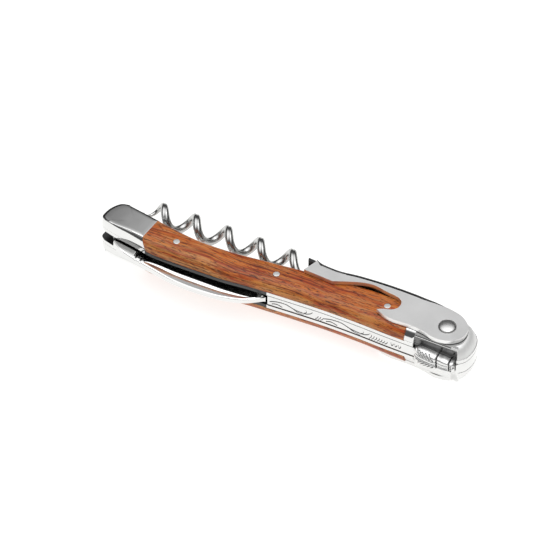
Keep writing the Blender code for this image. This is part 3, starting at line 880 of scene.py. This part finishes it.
def blade_outline():
    """The blade's back and its cutting edge, as functions of x."""
    pivot_x, pivot_y = BLADE_PIVOT
    spine_root = [(4.7, -2.5), (8.1, -4.5), (13.9, -6.1), (20, -7.2), (26, -8.3)]
    spine_tip = [(31, -8.6), (37, -8.45), (42, -7.9), (48.3, -6.0), (53.7, -2.3)]
    spine = edge(spine_root + spine_tip)
    belly = edge([(12.6, 1.9), (20, 1.8), (34, 1.4), (44, 0.6), (50, -0.6), (53.7, -2.0)])

    def low(x):
        if x < spine_root[0][0]:
            return pivot_y - 1.2 - 3.7 * math.sqrt(max(x - 3.69, 0.0) / 1.05)
        return spine(x)

    def high(x):
        if x < pivot_x:
            return pivot_y + math.sqrt(max(TANG_RADIUS**2 - (x - pivot_x) ** 2, 0.02))
        if x < TANG_END:
            return pivot_y + TANG_RADIUS
        if x < NECK_END:
            return pivot_y + TANG_RADIUS - 2.6 * ((x - TANG_END) / (NECK_END - TANG_END))
        return belly(x)

    return low, high


def blade_section(x, low, high):
    """One section's upper half, from the broken edge of the back over the groove to the cutting edge."""
    thin = BLADE_HALF * (1.0 - 0.30 * max(0.0, (x - 12.7) / 41.0) ** 3)
    in_notch = 13.2 < x < 13.7 or 15.0 < x < 15.4
    thick = thin - (0.35 if in_notch else 0.0)
    blend = min(max((x - NECK_END) / 0.8, 0.0), 1.0)
    edge_half = thick + (BLADE_EDGE_HALF - thick) * blend
    serration = 0.12 * math.sin(x * 5.2) if 18.0 < x < 50.0 else 0.0
    groove = math.sin(math.pi * min(max((x - 16.5) / 33.0, 0.0), 1.0)) ** 0.6
    chamfer = 0.5 * min(high - low, 4.0) / 4.0
    floor_end = low + chamfer + (high - low) * 0.05 + 1.35 * groove
    slope_end = floor_end + 0.75 * groove + (high - low) * 0.01
    sunk = 0.34 * groove
    section = [(low, thick - 0.26 - 0.5 * sunk), (low + chamfer * 0.12, thick - 0.15 - 0.7 * sunk)]
    section += [(low + chamfer, thick - sunk), (floor_end, thick - sunk), (slope_end, thick)]
    section.append((high + serration, edge_half))
    return [(x, y, z) for y, z in section]


def add_blade():
    """The foil blade: a grooved flat, hollow ground to a serrated edge, with notches at the tang."""
    low, high = blade_outline()
    count = 220
    rings = []
    for i in range(count + 1):
        x = BLADE_START + (BLADE_TIP - BLADE_START) * (i / count) ** 1.05
        upper = blade_section(x, low(x), high(x))
        rings.append(upper + [(a, b, -c) for a, b, c in upper[::-1]])
    piece = add_piece("foil_blade", skin(rings), MIRROR, "blade", sharp=6.0)
    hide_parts("blade")


def worm_angle(x):
    """The wire's angle about the worm's axis: even turns, then a smooth run-out to the shank."""
    turn = math.tau / WORM_PITCH
    start, end = WORM_RUNOUT
    if x < start:
        return WORM_PEAK_ANGLE + (x - WORM_PEAK_X) * turn
    t = min((x - start) / (end - start), 1.0)
    first = WORM_PEAK_ANGLE + (start - WORM_PEAK_X) * turn
    lead = turn * (end - start) * (t**3 - 2 * t**2 + t)
    return first * (2 * t**3 - 3 * t**2 + 1) + math.pi * (3 * t**2 - 2 * t**3) + lead


def worm_centre(x):
    """The middle of the wire, which narrows to the tip and drops to the pin at the shank."""
    angle = worm_angle(x)
    share = max(0.0, min((x - WORM_DROP[0]) / (WORM_DROP[1] - WORM_DROP[0]), 1.0))
    drop = (WORM_AXIS_Y - WORM_RADIUS - WORM_PIVOT[1]) * (3 * share**2 - 2 * share**3)
    grown = min(1.0, 0.35 + 0.65 * math.sqrt(max(x - WORM_TIP_X, 0.0) / 2.5))
    radius = WORM_RADIUS * grown
    return Vector((x, WORM_AXIS_Y + radius * math.cos(angle) - drop, radius * math.sin(angle)))


def add_worm():
    """Fluted wire: a round section with a groove along the outside of each turn, drawn to a point."""
    sides, per_turn = 40, 90
    step = WORM_PITCH / per_turn
    stations = []
    x = WORM_TIP_X
    while x < WORM_PIVOT[0] - 1.5:
        stations.append(x)
        x += step
    rings = []
    for x in stations:
        centre = worm_centre(x)
        forward = (worm_centre(x + 0.01) - worm_centre(x - 0.01)).normalized()
        angle = worm_angle(x)
        outward = Vector((0.0, math.cos(angle), math.sin(angle)))
        outward = (outward - forward * outward.dot(forward)).normalized()
        other = forward.cross(outward)
        radius = WIRE_RADIUS * min(1.0, 0.05 + 0.95 * (max(x - WORM_TIP_X, 0.0) / 7.0) ** 0.7)
        flute = 0.15 * min(max((x - 8.0) / 3.0, 0.0), 1.0) * min(max((57.5 - x) / 2.5, 0.0), 1.0)
        ring = []
        for i in range(sides):
            around = math.tau * i / sides
            offset = math.atan2(math.sin(around), math.cos(around))
            reach = radius * (1 - flute * math.exp(-((offset / 0.30) ** 2)))
            ring.append(centre + (outward * math.cos(around) + other * math.sin(around)) * reach)
        rings.append(ring)
    piece = add_piece("worm_wire", skin(rings), WIRE, "worm", sharp=60.0)
    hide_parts("worm")
    upper = [(2.6, SPRING_HALF - 0.15), (2.45, SPRING_HALF), (1.3, SPRING_HALF)]
    lower = [(radius, -z) for radius, z in upper[::-1]]
    eye = turned("worm_eye", WORM_PIVOT, lower + upper, WIRE, "worm")


def cutting_tool(name, outline, low, high):
    """A prism that only cuts, and is removed after the cut is baked."""
    tool = bpy.data.objects.new(name, bpy.data.meshes.new(name))
    bm = skin([at_height(outline, low), at_height(outline, high)])
    bmesh.ops.recalc_face_normals(bm, faces=bm.faces)
    for vertex in bm.verts:
        vertex.co = PLAN + vertex.co * MM
    bm.to_mesh(tool.data)
    bm.free()
    bpy.context.scene.collection.objects.link(tool)
    return tool


def lever_outline():
    """The lever from the side, and how far the bend rounds each point: web line, round end, hook, foot."""
    web_end = (100.5, 12.7)
    tooth = (87.0, 1.7)
    lip = [(60.0, 12.2), (61.6, 12.1)]
    web = smooth(lip + [(64.0, 11.8), (70.4, 11.5), (76.7, 12.4), (85.0, 13.0), (93.6, 13.1), web_end])
    round_end = [(105.5, 11.6), (109.6, 10.3), (112.2, 8.6), (113.7, 6.8), (114.1, 4.1), (113.2, 1.6)]
    underside = [(110.7, -0.4), (106.9, -1.1), (102.5, -0.1), (98.5, 0.3), (93.0, 0.1), (89.7, 0.6)]
    end = smooth([web_end] + round_end + underside + [tooth])
    throat = [(88.8, 2.7), (90.6, 3.3), (91.8, 4.3), (92.3, 5.5), (92.2, 7.0), (91.5, 8.0), (89.9, 8.75)]
    waist = [(86.5, 9.2), (81.9, 9.9), (78.1, 9.1), (74.0, 7.4), (70.8, 5.9)]
    hook = smooth([tooth] + throat + waist)
    foot = [(66.0, 6.15), (61.4, 6.4), (62.2, 8.6), (63.0, 10.8), (60.3, 11.3)]
    outline = web[:-1] + end[:-1] + hook + foot
    bend = []
    for i, (x, y) in enumerate(outline):
        start = min(max((x - BEND_START) / 2.5, 0.0), 1.0)
        fade = min(max((BEND_END - x) / (BEND_END - BEND_FADE), 0.0), 1.0)
        outer = i < len(web) + len(end) // 2 and y > 7.0
        bend.append(start * fade * fade * (3 - 2 * fade) if outer else 0.0)
    return outline, bend


def add_lever():
    """One bent sheet astride the handle, with a rounded outer bend and broken edges."""
    outline, bend = lever_outline()
    steps = 10
    rings = []
    for side in (-1, 1):
        order = range(steps + 1) if side < 0 else range(steps, -1, -1)
        for i in order:
            angle = math.pi / 2 * i / steps
            inset = BEND_RADIUS * (1 - math.sin(angle))
            z = side * (FLANGE_TOP - BEND_RADIUS * (1 - math.cos(angle)))
            rings.append(at_height(drawn_in(outline, [inset * share for share in bend]), z))
    lever = add_piece("lever_sheet", skin(rings), SATIN, "lever", sharp=30.0)
    under_web = [(59.0, 10.2), (64.0, 10.3), (70.4, 10.2), (76.7, 11.1), (85.0, 11.7), (93.6, 11.8)]
    web_edge = [(98.4, 11.6), (98.8, 13.0), (99.2, 16.0)]
    shape = smooth(under_web + web_edge) + [(122.0, 16.0), (122.0, -6.0), (59.0, -6.0)]
    tools = [cutting_tool("channel_tool", shape, -FLANGE_FOOT, FLANGE_FOOT)]
    for side in (1, -1):
        low, high = sorted((side * LIP_HALF, side * (FLANGE_TOP + 1.0)))
        tools.append(cutting_tool("lip_tool", LIP_TRIM, low, high))
    for tool in tools:
        cut = lever.modifiers.new(tool.name, "BOOLEAN")
        cut.operation = "DIFFERENCE"
        cut.object = tool
    broken = lever.modifiers.new("broken_edges", "BEVEL")
    broken.width = BROKEN_EDGE * MM
    broken.segments = 3
    broken.limit_method = "ANGLE"
    broken.angle_limit = math.radians(50)
    baked(lever)
    for tool in tools:
        bpy.data.objects.remove(tool)
    lever.data.shade_smooth()
    lever.data.set_sharp_from_angle(angle=math.radians(40))

    def outer_bend(centre, normal):
        """Whether a face is on the outer bend of the web, where a dark reflection is painted, or on the lip,
        where shade is painted.
        """
        rounded = 0.12 < abs(normal.z) < 0.997 and FLANGE_TOP - BEND_RADIUS < abs(centre.z) < FLANGE_TOP
        lip = centre.x < 62.8 and centre.y > 10.7
        return lip or (rounded and centre.y > 10.0 and centre.x < 103.0)

    # Painted dark reflection on the bend and painted shade on the lip.
    finish_faces(lever, SHADE_PAINT_STEEL, outer_bend)
    flatten_shading(lever)
    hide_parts("lever")


# Fasteners


def add_rivet():
    """The lever's rivet, with a domed head on each flange."""
    foot = FLANGE_TOP + 0.02
    shoulder = [(2.05, foot - 0.3), (2.60, foot), (2.64, foot + 0.15)]
    dome = [(2.64 * math.cos(a), foot + 0.15 + 0.78 * math.sin(a)) for a in np.linspace(0.15, 1.5, 16)]
    half = shoulder + dome
    profile = [(r, -z) for r, z in half[::-1]] + half
    piece = turned("lever_rivet_heads", LEVER_PIVOT, profile, RIVET)
    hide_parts("lever_rivet")


def add_scale_pins():
    """Small flush pins with a slightly domed end, each ringed by painted shade in its seat."""
    for side, where in ((1, "top"), (-1, "bottom")):
        for label, centre in SCALE_PINS.items():
            top = HANDLE_HALF + 0.02
            name = where + "_" + label
            profile = [(1.0, SLOT_HALF + 0.1), (1.0, top), (0.93, top + 0.03)]
            profile += [(0.7, top + 0.045), (0.05, top + 0.05)]
            placed = [(r, z * side) for r, z in profile]
            pin = turned("pin_" + name, centre, placed[::side], PIN, sides=40)
            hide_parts("scale_pin_" + name)
            # A dark ring of painted shade round the pin.
            ring = [(1.0, top - 0.2), (1.16, top - 0.2), (1.14, top + 0.02), (1.0, top + 0.015)]
            placed = [(r, z * side) for r, z in ring]
            seat = turned("pin_seat_" + name, centre, placed[::side], SEAT_SHADOW, sides=40)


def dress_hidden_nodes():
    """The pins that stay as the frame has them get the steel of the other pins."""
    for name in ("blade_pivot_pin", "worm_pivot_pin", "spring_pin_rear", "spring_pin_front"):
        node = frame["nodes"][name]
        node.data.materials.clear()
        node.data.materials.append(PIN)


# Studio


def add_floor():
    """A pale floor that glows softly, so that shadows on it stay light."""
    bm = bmesh.new()
    bmesh.ops.create_grid(bm, x_segments=8, y_segments=8, size=0.7)
    mesh = bpy.data.meshes.new("floor")
    bm.to_mesh(mesh)
    bm.free()
    floor = bpy.data.objects.new("floor", mesh)
    floor.location.z = CAD_BOX[0][2] - 0.00005
    bpy.context.scene.collection.objects.link(floor)
    shader = Shader("pale_floor")
    shader.set(Base_Color=(0.40, 0.40, 0.398, 1.0), Roughness=0.6, Specular_IOR_Level=0.15)
    shader.surface.inputs["Emission Color"].default_value = (1.0, 1.0, 0.99, 1.0)
    shader.surface.inputs["Emission Strength"].default_value = 0.82
    mesh.materials.append(shader.material)


def area_light(name, location, target, size, power):
    """A round soft light that faces its target."""
    data = bpy.data.lights.new(name, "AREA")
    data.shape = "DISK"
    data.size = size
    data.energy = power
    lamp = bpy.data.objects.new(name, data)
    lamp.location = location
    lamp.rotation_euler = (Vector(target) - Vector(location)).to_track_quat("-Z", "Y").to_euler()
    bpy.context.scene.collection.objects.link(lamp)


def add_world():
    """A soft overhead glow that falls off to a dim room near the horizon."""
    world = bpy.data.worlds.new("studio")
    world.use_nodes = True
    tree = world.node_tree
    coords = tree.nodes.new("ShaderNodeTexCoord").outputs["Generated"]
    dot = tree.nodes.new("ShaderNodeVectorMath")
    dot.operation = "DOT_PRODUCT"
    tree.links.new(coords, dot.inputs[0])
    dot.inputs[1].default_value = Vector((0.0, 0.0, 1.0))
    ramp = tree.nodes.new("ShaderNodeValToRGB")
    stops = [(0.0, 0.09), (0.50, 0.10), (0.645, 0.14), (0.72, 0.55), (0.78, 1.0), (0.86, 1.6), (1.0, 1.9)]
    elements = ramp.color_ramp.elements
    while len(elements) < len(stops):
        elements.new(0.5)
    for element, (position, value) in zip(elements, stops):
        element.position = position
        element.color = (value, value, value * 1.01, 1.0)
    tree.links.new(dot.outputs["Value"], ramp.inputs["Fac"])
    tree.links.new(ramp.outputs["Color"], tree.nodes["Background"].inputs["Color"])
    tree.nodes["Background"].inputs["Strength"].default_value = 1.0
    bpy.context.scene.world = world


def add_camera():
    """Looks down at the back's side, turned towards the head, through a long lens."""
    right = Vector((math.cos(VIEW_TURN), math.sin(VIEW_TURN), 0.0))
    level = Vector((math.sin(VIEW_TURN), -math.cos(VIEW_TURN), 0.0))
    back = level * math.cos(VIEW_TILT) + Vector((0.0, 0.0, math.sin(VIEW_TILT)))
    up = back.cross(right)
    target = PLAN + Vector(VIEW_TARGET) * MM
    data = bpy.data.cameras.new("camera")
    data.lens = data.sensor_width * VIEW_DISTANCE / VIEW_WIDTH
    camera = bpy.data.objects.new("camera", data)
    turned_to_target = Matrix((right, up, back)).transposed().to_4x4()
    camera.matrix_world = Matrix.Translation(target + back * VIEW_DISTANCE) @ turned_to_target
    bpy.context.scene.collection.objects.link(camera)
    bpy.context.scene.camera = camera


add_scales()
add_liners()
add_tail_bolsters()
add_head_bolsters()
add_head_spacer()
add_back_spring()
add_bee()
add_blade()
add_worm()
add_lever()
add_rivet()
add_scale_pins()
dress_hidden_nodes()
add_floor()
add_world()
area_light("overhead", (0.15, 0.05, 1.1), (0.0, 0.0, 0.0), 0.35, 1.0)
add_camera()
bpy.context.scene.view_settings.view_transform = "Standard"
